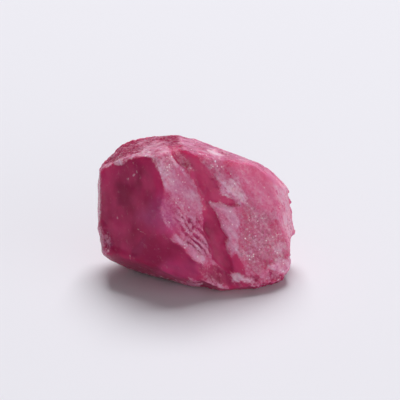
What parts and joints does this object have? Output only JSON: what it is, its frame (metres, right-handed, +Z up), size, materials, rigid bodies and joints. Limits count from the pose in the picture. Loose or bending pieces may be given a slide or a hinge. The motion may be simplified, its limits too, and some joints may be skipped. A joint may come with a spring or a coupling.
{
  "type": "raw ruby crystal",
  "caption": "Rough, stubby ruby crystal with broken crimson and frosted pink faces, lying on a flat natural face.",
  "frame": {"origin": "middle of the stone's box, on the surface that its flat resting face lies on", "axes": "+X along the stone's long way, towards its glowing right end; -Y out of its front; +Z up"},
  "size_m": [0.016, 0.0112, 0.0117],
  "materials": {
    "ruby": "glassy crimson where it broke clean, frosted pink where it parted"
  },
  "bodies": {
    "root": {"ruby_crystal": "ruby"}
  },
  "joints": []
}
